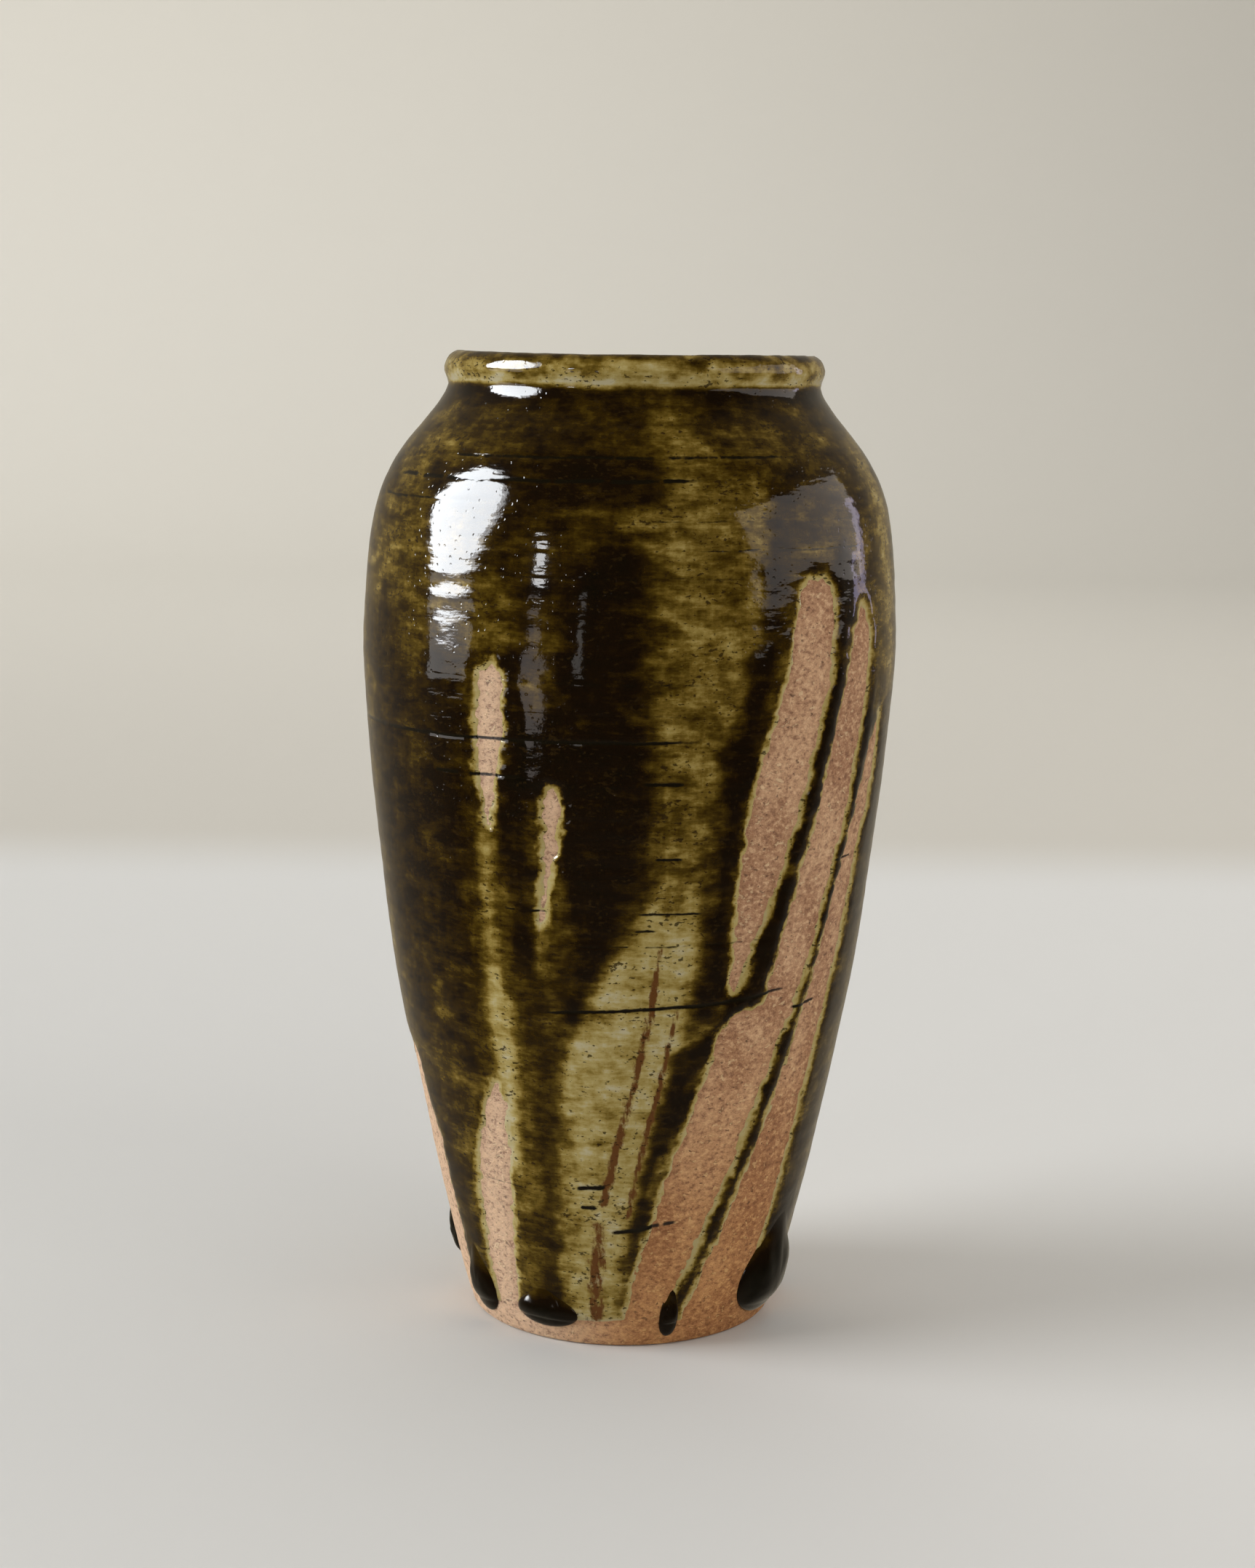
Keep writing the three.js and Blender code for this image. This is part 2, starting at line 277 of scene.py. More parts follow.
OUTLINE = spline(OUTSIDE + INSIDE)
WALL = spline(OUTSIDE)


def wall_radius(z):
    """Radius of the finished outside at a height below the crest."""
    return np.interp(z, WALL[:, 1], WALL[:, 0])


def stroke_distance(theta, z, stations):
    """Distance in mm from a stroke's edge, negative inside it."""
    mm_per_degree = wall_radius(z) * math.pi / 180
    best = np.full(np.broadcast(theta, z).shape, 1e3)
    for (za, ta, wa), (zb, tb, wb) in zip(stations, stations[1:]):
        across = ((theta - ta + 180) % 360 - 180) * mm_per_degree
        along = z - za
        run = (tb - ta) * mm_per_degree
        rise = zb - za
        part = np.clip((across * run + along * rise) / (run ** 2 + rise ** 2), 0, 1)
        gap = np.hypot(across - part * run, along - part * rise)
        best = np.minimum(best, gap - (wa + (wb - wa) * part) * mm_per_degree)
    return best


# ---------------------------------------------------------------- fields over the wall


def window_distance(theta, z):
    """Distance in mm into the glaze from the nearest bare clay, negative on the clay."""
    ragged = 0.55 * noise(theta, z, 2.6, 3.0, 11) + 0.62 * noise(theta, z, 1.0, 1.1, 12, 2)
    nearest = np.full(np.broadcast(theta, z).shape, 1e3)
    for stations in BARE.values():
        nearest = np.minimum(nearest, stroke_distance(theta, z, stations))
    foot_line = GLAZE_LINE + 0.7 * noise(theta, 0 * z, 9, 9, 13)
    return np.minimum(nearest + ragged, (z - foot_line) * 1.2)


def drag_marks(theta, z):
    """How deep the drag lines are here in mm, and how strongly to paint their grooves dark, from 0 to 1."""
    depth_here = np.zeros(np.broadcast(theta, z).shape)
    shows = np.zeros(depth_here.shape)
    for level, rise, start, end, depth, width, broken in DRAG_LINES:
        height = level + rise * turned(theta) + 0.22 * noise(theta, 0 * z + level, 6, 5, 25, 2)
        fade = 0.16 * (end - start)
        starts = smoothstep(start - 0.6, start + fade, turned(theta))
        ends = smoothstep(end + 0.6, end - fade, turned(theta))
        gaps = smoothstep(-0.25, 0.05, noise(theta, 0 * z + level, 1.6, 5, 26, 2) + 0.5 - 0.7 * broken)
        mark = starts * ends * gaps * np.exp(-(((z - height) / width) ** 2))
        depth_here = np.maximum(depth_here, depth * mark)
        shows = np.maximum(shows, mark * min(1, depth / 0.14))
    return depth_here, shows


def throwing_relief(theta, z):
    """How far the clay stands out from the true form, in mm."""
    spiral = z / 3.6 + theta / 360
    swing = 0.5 + 0.5 * noise(theta, z, 40, 14, 21, 2)
    ridges = 0.022 * swing * np.sin(2 * math.pi * spiral + 1.6 * noise(theta, z, 30, 9, 22, 2))
    fingers = 0.16 * noise(theta, z, 160, 15, 23, 2)
    fine = 0.016 * noise(theta, z, 26, 1.6, 24, 3)
    out_of_round = 0.12 * np.cos(np.radians(2 * (theta - 80))) + 0.08 * np.sin(np.radians(3 * theta))
    collar = 0.2 * smoothstep(COLLAR_EDGE - 0.4, COLLAR_EDGE + 0.4, z) * smoothstep(HEIGHT, HEIGHT - 1, z)
    wall = (ridges + fingers + fine + out_of_round) * smoothstep(0, 6, z)
    return wall + collar - 0.28 * drag_marks(theta, z)[0]


def coat_thickness(theta, z):
    """Thickness of the glaze in mm, before it thins at the windows' edges."""
    levels, depths = zip(*COAT_LEVELS)
    coat = np.interp(z, levels, depths) + 0.05 * noise(theta, z, 16, 7, 31)
    on_collar = smoothstep(COLLAR_EDGE, COLLAR_EDGE + 0.6, z)
    coat = coat + on_collar * 0.24 * noise(theta, z, 4, 1.6, 33)
    banded = smoothstep(106, 116, z) * (1 - on_collar)
    coat = coat + banded * 0.14 * noise(theta, z, 30, 1.8, 34)
    wander = 3.0 * noise(theta, z, 6, 3.5, 35)
    for left, feather, stations in THIN_PATCHES:
        inside = smoothstep(feather, -feather, stroke_distance(theta, z, stations) + 0.5 * wander)
        coat = coat + (left - coat) * inside
    for extra, feather, stations in THICK_RUNS:
        inside = smoothstep(feather, -feather, stroke_distance(theta, z, stations) + wander)
        coat = coat + extra * inside
    return np.maximum(coat + 0.03 * noise(theta, z, 5, 2.2, 32), 0.05)


def rust_amount(theta, z):
    """How rusty the glaze is here, from 0 to 1."""
    amount = np.zeros(np.broadcast(theta, z).shape)
    for feather, stations in RUST:
        amount = np.maximum(amount, smoothstep(feather, -feather, stroke_distance(theta, z, stations)))
    return amount


def glaze_fields(theta, z):
    """What the glaze is like here: thickness, how far it stands out, distance from bare clay, stains."""
    edge = window_distance(theta, z)
    coat = coat_thickness(theta, z)
    level = 0.42 + 0.35 * (coat - 0.42)
    stands = level * (0.5 + 0.5 * smoothstep(0, 2.4, edge)) * (1 - np.exp(-np.maximum(edge, 0) / 0.3))
    stands = np.where(edge < 0, 0.5 * edge, stands)
    shows = drag_marks(theta, z)[1]
    rust = rust_amount(theta, z)
    return {"coat": coat, "stands": stands, "edge": edge, "rust": rust, "groove_shade": shows}


def drift(z):
    """How far each ring's middle has wandered sideways from the axis, in mm."""
    return 0.35 * (z / HEIGHT) - 0.25 * np.sin(z / HEIGHT * math.pi)


# ---------------------------------------------------------------- meshes


def outline_at(distance):
    """Point and outward normal on the outline, a distance along it from the foot."""
    steps = np.hypot(*np.diff(OUTLINE, axis=0).T)
    travelled = np.concatenate([[0], np.cumsum(steps)])
    tangent = np.gradient(OUTLINE, travelled, axis=0)
    point = np.stack([np.interp(distance, travelled, OUTLINE[:, k]) for k in (0, 1)], -1)
    way = np.stack([np.interp(distance, travelled, tangent[:, k]) for k in (0, 1)], -1)
    way /= np.linalg.norm(way, axis=-1, keepdims=True)
    return point, np.stack([way[..., 1], -way[..., 0]], -1)


def travelled_to(index):
    """Distance along the outline to one of its listed points."""
    steps = np.hypot(*np.diff(OUTLINE, axis=0).T)
    return float(np.sum(steps[: index * STEPS_PER_SPAN]))


CREST = travelled_to(len(OUTSIDE))
END = travelled_to(len(OUTSIDE) + len(INSIDE) - 1)


def place(theta, radius, z):
    """Points in metres from cylinder coordinates in millimetres and degrees."""
    angle = np.radians(theta)
    x = radius * np.sin(angle) + drift(z)
    y = -radius * np.cos(angle)
    return np.stack([x, y, z + 0 * theta], -1) * MM


def weld(mesh):
    """Joins the points that meet on the axis, so that no ring is left open there."""
    soft = bmesh.new()
    soft.from_mesh(mesh)
    bmesh.ops.remove_doubles(soft, verts=soft.verts, dist=0.001 * MM)
    soft.to_mesh(mesh)
    soft.free()


def make_mesh(name, points, faces, values=None):
    """A smooth-shaded object from numpy points and quads, with float attributes on its points."""
    used = np.unique(faces)
    renumber = np.zeros(len(points), np.int64)
    renumber[used] = np.arange(len(used))
    faces = renumber[faces]
    mesh = bpy.data.meshes.new(name)
    mesh.vertices.add(len(used))
    mesh.vertices.foreach_set("co", points[used].astype(np.float32).ravel())
    mesh.loops.add(faces.size)
    mesh.loops.foreach_set("vertex_index", faces.astype(np.int32).ravel())
    mesh.polygons.add(len(faces))
    mesh.polygons.foreach_set("loop_start", np.arange(0, faces.size, 4, dtype=np.int32))
    mesh.update(calc_edges=True)
    mesh.polygons.foreach_set("use_smooth", np.ones(len(faces), bool))
    for key, value in (values or {}).items():
        layer = mesh.attributes.new(key, "FLOAT", "POINT")
        layer.data.foreach_set("value", value.ravel()[used].astype(np.float32))
    mesh.validate()
    weld(mesh)
    thing = bpy.data.objects.new(name, mesh)
    bpy.context.scene.collection.objects.link(thing)
    return thing


def ring_faces(rows, columns):
    """Quads of a grid whose columns close round the vase, facing out when rows go up."""
    r, c = np.meshgrid(np.arange(rows - 1), np.arange(columns), indexing="ij")
    n = (c + 1) % columns
    return np.stack([r * columns + c, r * columns + n, (r + 1) * columns + n, (r + 1) * columns + c], -1)


def row_places(start, end, step):
    """Distances along the outline from start to end, packed closer where drag lines cross the wall."""
    along = np.linspace(start, end, 6000)
    height = outline_at(along)[0][:, 1]
    closeness = np.where(abs(height - COLLAR_EDGE) < 0.8, 2.0, 1.0)
    for level, rise, first, last, depth, width, broken in DRAG_LINES:
        low, high = sorted((level + rise * first, level + rise * last))
        crossed = (height > low - 2 * width) & (height < high + 2 * width)
        closeness = np.where(crossed, 3.0, closeness)
    packed = np.concatenate([[0], np.cumsum(closeness[1:] * np.diff(along))])
    count = int(round(packed[-1] / step)) + 1
    return np.interp(np.linspace(0, packed[-1], count), packed, along)


COLUMN_ANGLES = np.arange(COLUMNS) * 360 / COLUMNS - 100


def outline_grid(distance):
    """Angles, outline points and normals for rings at distances along the outline."""
    point, normal = outline_at(distance)
    theta, _ = np.meshgrid(COLUMN_ANGLES, distance)
    return theta, point[:, None, :], normal[:, None, :]


def build_clay():
    """The whole clay body: foot ring, wall, lip and the inside behind the liner, closed."""
    theta, point, normal = outline_grid(row_places(0, CREST, ROW_STEP))
    z = point[..., 1] + 0 * theta
    out = -COAT + throwing_relief(theta, z)
    radius = point[..., 0] + normal[..., 0] * out
    height = z + normal[..., 1] * out
    rows = [place(theta, radius, height)]
    fields = glaze_fields(theta, z)
    inner_rows = 60
    inner_theta, point, normal = outline_grid(np.linspace(CREST + 1.5, END, inner_rows))
    out = -COAT - LINER
    radius = np.maximum(point[..., 0] + normal[..., 0] * out, 0) + 0 * inner_theta
    height = point[..., 1] + normal[..., 1] * out + 0 * inner_theta
    rows.append(place(inner_theta, radius, height))
    foot = spline(FOOT_RING, 5)
    foot_theta, foot_radius = np.meshgrid(COLUMN_ANGLES, foot[:, 0])
    foot_height = foot[:, 1][:, None] + 0 * foot_theta
    rows.insert(0, place(foot_theta, foot_radius, foot_height))
    points = np.concatenate(rows)
    outer = slice(len(foot), len(foot) + len(theta))
    bare = -5.0
    edge = np.full(points.shape[:2], bare)
    edge[outer] = fields["edge"]
    groove_shade = np.zeros(points.shape[:2])
    groove_shade[outer] = fields["groove_shade"]
    faces = ring_faces(len(points), COLUMNS).reshape(-1, 4)
    return make_mesh("clay_body", points.reshape(-1, 3), faces, {"edge": edge, "groove_shade": groove_shade})


def build_coat():
    """The outer glaze: a sheet that dips under the clay at each window and stops there."""
    lowest_row = 1.2
    kept_under_clay = -0.5
    theta, point, normal = outline_grid(row_places(lowest_row, CREST, ROW_STEP))
    z = point[..., 1] + 0 * theta
    fields = glaze_fields(theta, z)
    out = -COAT + throwing_relief(theta, z) + fields["stands"]
    radius = point[..., 0] + normal[..., 0] * out
    height = z + normal[..., 1] * out
    faces = ring_faces(*theta.shape)
    keep = fields["edge"].ravel()[faces].max(-1) > kept_under_clay
    points = place(theta, radius, height)
    values = {key: fields[key] for key in ("coat", "edge", "rust", "groove_shade")}
    return make_mesh("ash_glaze_coat", points.reshape(-1, 3), faces[keep], values)


def build_liner():
    """The glaze inside, from the lip down to the floor."""
    distance = np.arange(CREST, END, 0.9)
    distance[-1] = END
    theta, point, normal = outline_grid(distance)
    z = point[..., 1] + 0 * theta
    steady = smoothstep(0, 4, HEIGHT - z)
    out = 0.3 * noise(theta, z, 60, 9, 41, 2) * steady - 0.25 * smoothstep(2, 0, HEIGHT - z) * steady
    edge_match = glaze_fields(theta[:1], z[:1])
    rim = -COAT + throwing_relief(theta[:1], z[:1]) + edge_match["stands"]
    fade = smoothstep(6, 0, distance - CREST)[:, None]
    out = out * (1 - fade) + rim * fade
    radius = np.maximum(point[..., 0] + normal[..., 0] * out, 0)
    height = z + normal[..., 1] * out
    points = place(theta, radius, height)
    coat = 0.5 + 0.1 * noise(theta, z, 14, 10, 42) - 0.2 * smoothstep(4, 0, HEIGHT - z)
    values = {"coat": coat, "edge": 6 + 0 * coat, "rust": 0 * coat, "groove_shade": 0 * coat}
    faces = ring_faces(*theta.shape).reshape(-1, 4)
    return make_mesh("liner_coat", points.reshape(-1, 3), faces, values)


def build_bead(name, middle, level, half_width, half_height, tail, proud):
    """A drop at the end of a run: round below, drawn up into the run above."""
    turns = 64
    rings = 26
    wraps = math.radians(112)
    sinks = 0.12
    way = np.arange(turns) * 2 * math.pi / turns
    across, up = np.sin(way), np.cos(way)
    reach_up = np.where(up > 0, tail, half_height)
    tailing = smoothstep(0.15, 0.95, up)
    alpha = np.linspace(0, 1, rings)[:, None]
    ball = np.sin(alpha * wraps)
    spread = ball * (1 - tailing) + alpha * tailing
    dome = np.cos(alpha * wraps)
    bell = 0.5 + 0.5 * np.cos(alpha * math.pi)
    lift = proud * (dome * (1 - tailing) + bell * tailing) - sinks * alpha ** 4
    narrow = 1 - 0.35 * smoothstep(0, 1, spread * np.maximum(up, 0))
    side = spread * across * half_width * narrow
    z = level + spread * up * reach_up
    wobble = 1 + 0.08 * noise(middle + side * 4, z, 6, 6, 51, 2)
    theta = middle + np.degrees(side / wall_radius(level)) + 0 * z
    fields = glaze_fields(theta, z)
    under = np.where(tailing > 0.5, fields["stands"], np.maximum(fields["stands"], 0))
    out = -COAT + throwing_relief(theta, z) + under + lift * wobble
    radius = wall_radius(z) + out
    points = place(theta, radius, z)
    pooled_depth = np.maximum(fields["coat"], 0.62) + 0.3 * np.clip(lift, 0, None)
    run_into = smoothstep(0.1, 0.75, spread * up)
    coat = fields["coat"] * run_into + pooled_depth * (1 - run_into)
    values = {"coat": coat, "edge": 6 + 0 * coat, "rust": 0 * coat, "groove_shade": 0 * coat}
    faces = ring_faces(rings, turns).reshape(-1, 4)
    return make_mesh(name, points.reshape(-1, 3), faces, values)


# ---------------------------------------------------------------- materials


class Sheet:
    """A material's node tree, with short calls for the nodes it is made of."""

    def __init__(self, name):
        self.material = bpy.data.materials.new(name)
        self.material.use_nodes = True
        self.tree = self.material.node_tree
        self.shader = self.tree.nodes["Principled BSDF"]
        self.place = self.add("ShaderNodeTexCoord").outputs["Object"]

    def add(self, kind, **settings):
        node = self.tree.nodes.new(kind)
        for key, value in settings.items():
            setattr(node, key, value)
        return node

    def feed(self, socket, value):
        if isinstance(value, bpy.types.NodeSocket):
            self.tree.links.new(value, socket)
        else:
            socket.default_value = value

    def math(self, operation, a, b=0.0, c=0.0):
        node = self.add("ShaderNodeMath", operation=operation)
        for socket, value in zip(node.inputs, (a, b, c)):
            self.feed(socket, value)
        return node.outputs[0]

    def field(self, name):
        """A value that the mesh carries on its points."""
        return self.add("ShaderNodeAttribute", attribute_name=name).outputs["Fac"]

    def stretched(self, across, up):
        """Object coordinates scaled so that a unit is so many mm across and up."""
        node = self.add("ShaderNodeMapping")
        self.feed(node.inputs["Vector"], self.place)
        node.inputs["Scale"].default_value = (1000 / across, 1000 / across, 1000 / up)
        return node.outputs[0]

    def noise(self, across, up, detail=3.0, rough=0.55, shift=0.0):
        """Noise centred on 0, from about -0.5 to 0.5."""
        node = self.add("ShaderNodeTexNoise", noise_dimensions="4D")
        self.feed(node.inputs["Vector"], self.stretched(across, up))
        node.inputs["W"].default_value = shift
        node.inputs["Scale"].default_value = 1.0
        node.inputs["Detail"].default_value = detail
        node.inputs["Roughness"].default_value = rough
        return self.math("SUBTRACT", node.outputs["Fac"], 0.5)

    def cells(self, across, up):
        """Distance to the nearest cell's middle, and a random colour for each cell."""
        node = self.add("ShaderNodeTexVoronoi", feature="F1")
        self.feed(node.inputs["Vector"], self.stretched(across, up))
        node.inputs["Scale"].default_value = 1.0
        return node.outputs["Distance"], node.outputs["Color"]

    def ramp(self, value, stops):
        """A colour for a value, blended between (value, colour) stops."""
        node = self.add("ShaderNodeValToRGB")
        marks = node.color_ramp.elements
        while len(marks) < len(stops):
            marks.new(1.0)
        for mark, (position, colour) in zip(marks, stops):
            mark.position = position
            mark.color = (*colour, 1)
        self.feed(node.inputs["Fac"], value)
        return node.outputs["Color"]

    def between(self, value, low, high):
        """0 below low and 1 above high, or the other way round."""
        node = self.add("ShaderNodeMapRange", interpolation_type="SMOOTHSTEP")
        self.feed(node.inputs["Value"], value)
        node.inputs["From Min"].default_value = low
        node.inputs["From Max"].default_value = high
        return node.outputs["Result"]

    def mix(self, amount, a, b, blend="MIX"):
        """Two colours or sockets mixed, all a at 0 and all b at 1."""
        node = self.add("ShaderNodeMix", data_type="RGBA", blend_type=blend)
        self.feed(node.inputs["Factor"], amount)
        self.feed(node.inputs["A"], a if isinstance(a, bpy.types.NodeSocket) else (*a, 1))
        self.feed(node.inputs["B"], b if isinstance(b, bpy.types.NodeSocket) else (*b, 1))
        return node.outputs["Result"]

    def bump(self, height, depth_mm, below=None):
        """Fine relief of a depth in mm, on top of any relief below it."""
        node = self.add("ShaderNodeBump")
        node.inputs["Strength"].default_value = 1.0
        node.inputs["Distance"].default_value = depth_mm * MM
        self.feed(node.inputs["Height"], height)
        if below is not None:
            self.feed(node.inputs["Normal"], below)
        return node.outputs["Normal"]


# Colour of the glaze by its thickness in mm: cream where it breaks, khaki, amber, then near black.
GLAZE_BY_THICKNESS = [
    (0.00, (0.490, 0.430, 0.265)),
    (0.11, (0.430, 0.340, 0.128)),
    (0.22, (0.300, 0.215, 0.054)),
    (0.31, (0.160, 0.102, 0.015)),
    (0.40, (0.074, 0.044, 0.004)),
    (0.50, (0.031, 0.016, 0.001)),
    (0.64, (0.009, 0.004, 0.001)),
    (1.00, (0.004, 0.003, 0.001)),
]


def glaze_material(name, shift):
    """Runny iron and ash glaze: clear and glossy, mottled, darker the thicker it lies."""
    s = Sheet(name)
    mottle = s.noise(4.2, 2.4, 5, 0.65, shift)
    dashes = s.noise(3.4, 0.6, 4, 0.62, shift + 1)
    streaks = s.noise(1.1, 8, 4, 0.6, shift + 2)
    clouds = s.noise(16, 8, 2, 0.5, shift + 3)
    patchy = s.math("MULTIPLY", mottle, 0.82)
    patchy = s.math("MULTIPLY_ADD", dashes, 0.30, patchy)
    patchy = s.math("MULTIPLY_ADD", streaks, 0.17, patchy)
    patchy = s.math("MULTIPLY_ADD", clouds, 0.20, patchy)
    thick = s.math("ADD", s.field("coat"), patchy)
    uneven = s.math("MULTIPLY_ADD", s.noise(3.0, 5.0, 2, 0.5, shift + 8), 1.5, 1.0)
    ragged = s.math("MULTIPLY", s.field("edge"), uneven)
    ragged = s.math("MULTIPLY_ADD", s.noise(0.9, 0.8, 3, 0.6, shift + 4), 1.3, ragged)
    thinning = s.between(ragged, 0.15, 1.5)
    thick = s.math("MULTIPLY", thick, s.math("MULTIPLY_ADD", thinning, 0.80, 0.20))
    colour = s.ramp(thick, GLAZE_BY_THICKNESS)
    red = s.math("MULTIPLY_ADD", s.noise(1.0, 2.5, 4, 0.65, shift + 5), 2.4, s.field("rust"))
    colour = s.mix(s.between(red, 0.42, 0.90), colour, (0.125, 0.048, 0.012))
    specks = s.noise(0.8, 0.45, 2, 0.5, shift + 11)
    flecks = s.math("MULTIPLY_ADD", s.noise(9, 3, 3, 0.6, shift + 10), 0.45, specks)
    colour = s.mix(s.math("MULTIPLY", s.between(flecks, 0.11, 0.17), 0.85), colour, (0.024, 0.013, 0.003))
    # Drag grooves painted near black: partly glaze pooled thick in them, partly painted shade of grooves kept
    # shallow.
    groove_shade = s.math("MULTIPLY_ADD", s.noise(1.2, 0.5, 3, 0.6, shift + 9), 0.9, s.field("groove_shade"))
    colour = s.mix(s.between(groove_shade, 0.22, 0.75), colour, (0.007, 0.005, 0.002))
    s.feed(s.shader.inputs["Base Color"], colour)
    waves = s.bump(s.noise(5, 1.2, 2, 0.5, shift + 6), 0.040)
    skin = s.bump(s.noise(0.9, 0.7, 2, 0.5, shift + 7), 0.012, waves)
    pit_gap, pit_kind = s.cells(0.9, 0.9)
    split = s.add("ShaderNodeSeparateColor")
    s.feed(split.inputs[0], pit_kind)
    pit = s.math("MULTIPLY", s.between(pit_gap, 0.30, 0.12), s.between(split.outputs[0], 0.60, 0.62))
    s.feed(s.shader.inputs["Normal"], s.bump(s.math("MULTIPLY", pit, -1.0), 0.018, skin))
    s.shader.inputs["Roughness"].default_value = 0.06
    s.shader.inputs["IOR"].default_value = 1.48
    return s.material


def clay_material():
    """Toasted stoneware, gritty, with pale and dark grog, an oranger foot and a painted lit side."""
    s = Sheet("stoneware_clay")
    split = s.add("ShaderNodeSeparateXYZ")
    s.feed(split.inputs[0], s.place)
    warm = s.noise(12, 20, 3, 0.55)
    colour = s.mix(s.between(warm, -0.12, 0.12), (0.435, 0.222, 0.114), (0.600, 0.352, 0.198))
    # Painted highlight: the clay is painted paler on the side the window lights (-X).
    painted_lit_side = s.between(split.outputs["X"], 0.004, -0.014)
    colour = s.mix(s.math("MULTIPLY", painted_lit_side, 0.75), colour, (0.740, 0.500, 0.315))
    grit = s.noise(1.1, 0.8, 5, 0.8)
    colour = s.mix(s.math("MULTIPLY", s.between(grit, 0.00, 0.12), 0.75), colour, (0.800, 0.540, 0.320))
    colour = s.mix(s.math("MULTIPLY", s.between(grit, 0.00, -0.12), 0.75), colour, (0.210, 0.090, 0.045))
    pale = s.between(s.noise(1.1, 0.8, 2, 0.5, 3.0), 0.12, 0.17)
    dark = s.between(s.noise(0.9, 0.6, 2, 0.5, 5.0), 0.15, 0.19)
    colour = s.mix(s.math("MULTIPLY", pale, 0.55), colour, (0.86, 0.64, 0.38))
    colour = s.mix(s.math("MULTIPLY", dark, 0.65), colour, (0.120, 0.055, 0.028))
    toasted = s.between(s.field("edge"), -1.6, 0.2)
    colour = s.mix(s.math("MULTIPLY", toasted, 0.30), colour, (0.320, 0.150, 0.066))
    foot = s.between(s.math("MULTIPLY_ADD", warm, 0.02, split.outputs["Z"]), 0.070, 0.004)
    # The foot's toast is left off the side that is painted lit.
    foot = s.math("MULTIPLY", foot, s.math("SUBTRACT", 1.0, painted_lit_side))
    colour = s.mix(foot, colour, (0.95, 0.78, 0.50), "MULTIPLY")
    # Painted shade: the clay is painted near black in the drag grooves.
    groove_shade = s.math("MULTIPLY_ADD", s.noise(1.4, 0.6, 3, 0.6), 1.0, s.field("groove_shade"))
    colour = s.mix(s.between(groove_shade, 0.30, 0.85), colour, (0.030, 0.016, 0.008))
    s.feed(s.shader.inputs["Base Color"], colour)
    s.shader.inputs["Roughness"].default_value = 0.80
    coarse = s.bump(grit, 0.35)
    lines = s.bump(s.noise(7, 0.28, 3, 0.6), 0.05, coarse)
    s.feed(s.shader.inputs["Normal"], s.bump(s.math("SUBTRACT", pale, dark), 0.08, lines))
    return s.material


def bead_material():
    """Pooled glaze, thick enough to look black, going over to the run's own colour up its tail."""
    s = Sheet("pooled_glaze")
    depth = s.math("MULTIPLY_ADD", s.noise(3.0, 2.0, 4, 0.62, 9.0), 0.4, s.field("coat"))
    s.feed(s.shader.inputs["Base Color"], s.ramp(depth, GLAZE_BY_THICKNESS))
    s.feed(s.shader.inputs["Normal"], s.bump(s.noise(2.2, 1.6, 2, 0.5, 9.5), 0.03))
    s.shader.inputs["Roughness"].default_value = 0.11
    s.shader.inputs["IOR"].default_value = 1.42
    return s.material


def sweep_material():
    """Pale matt paper, turning darker and warmer from 0.33 to 0.42 m behind the vase, on the flat floor."""
    s = Sheet("paper_sweep")
    split = s.add("ShaderNodeSeparateXYZ")
    s.feed(split.inputs[0], s.place)
    far = s.between(split.outputs["Y"], 0.33, 0.42)
    colour = s.mix(far, (0.73, 0.73, 0.71), (0.62, 0.595, 0.535))
    s.feed(s.shader.inputs["Base Color"], colour)
    s.shader.inputs["Roughness"].default_value = 0.9
    return s.material


# ---------------------------------------------------------------- the object's pieces


def dress(piece, node, material):
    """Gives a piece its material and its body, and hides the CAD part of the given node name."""
    piece.data.materials.append(material)
    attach(piece, "root")
    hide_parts(node)


glaze = glaze_material("ash_glaze", 0.0)
dress(build_clay(), "stoneware_body", clay_material())
dress(build_coat(), "outer_glaze", glaze)
dress(build_liner(), "liner_glaze", glaze_material("liner_glaze", 7.0))
pooled = bead_material()
for bead_name, shape in BEADS.items():
    dress(build_bead(bead_name + "_drop", *shape), bead_name, pooled)

# ---------------------------------------------------------------- floor, light and camera


def build_sweep(material):
    """A wide floor that curves up into a wall far behind the vase."""
    half = 2.5
    bend = 0.5
    wall = 1.9
    profile = [(-half, 0), (-0.8, 0), (0.6, 0)]
    for a in np.radians(np.arange(0, 91, 7.5)):
        profile.append((wall - bend + bend * math.sin(a), bend - bend * math.cos(a)))
    profile.append((wall, 2.5))
    points = np.array([[(x, y, z) for x in (half, -half)] for y, z in profile], float)
    count = len(profile)
    faces = np.array([[2 * i, 2 * i + 1, 2 * i + 3, 2 * i + 2] for i in range(count - 1)])
    sweep = make_mesh("paper_sweep", points.reshape(-1, 3), faces[:, ::-1])
    sweep.data.materials.append(material)
    sweep.visible_glossy = False


def backdrop_material():
    """A pale glow, greyer towards the floor."""
    s = Sheet("backdrop_glow")
    split = s.add("ShaderNodeSeparateXYZ")
    s.feed(split.inputs[0], s.place)
    rise = s.between(split.outputs["Z"], 0.0, 0.9)
    glow = s.add("ShaderNodeEmission")
    s.feed(glow.inputs["Color"], s.mix(rise, (0.53, 0.52, 0.49), (0.60, 0.58, 0.53)))
    s.tree.links.new(glow.outputs[0], s.tree.nodes["Material Output"].inputs["Surface"])
    return s.material


def build_backdrop(material):
    """A curved screen on the sides the sweep leaves open. It lights nothing and shows in no glaze."""
    radius = 0.9
    top = 1.6
    angles = np.radians(np.arange(-150, 151, 5))
    rings = [[(radius * math.sin(a), -radius * math.cos(a), z) for a in angles] for z in (-0.05, top)]
    points = np.array(rings)
    count = len(angles)
    faces = np.array([[i, i + 1, count + i + 1, count + i] for i in range(count - 1)])
    screen = make_mesh("backdrop_screen", points.reshape(-1, 3), faces)
    screen.data.materials.append(material)
    screen.visible_diffuse = False
    screen.visible_glossy = False
    screen.visible_transmission = False
    screen.visible_shadow = False


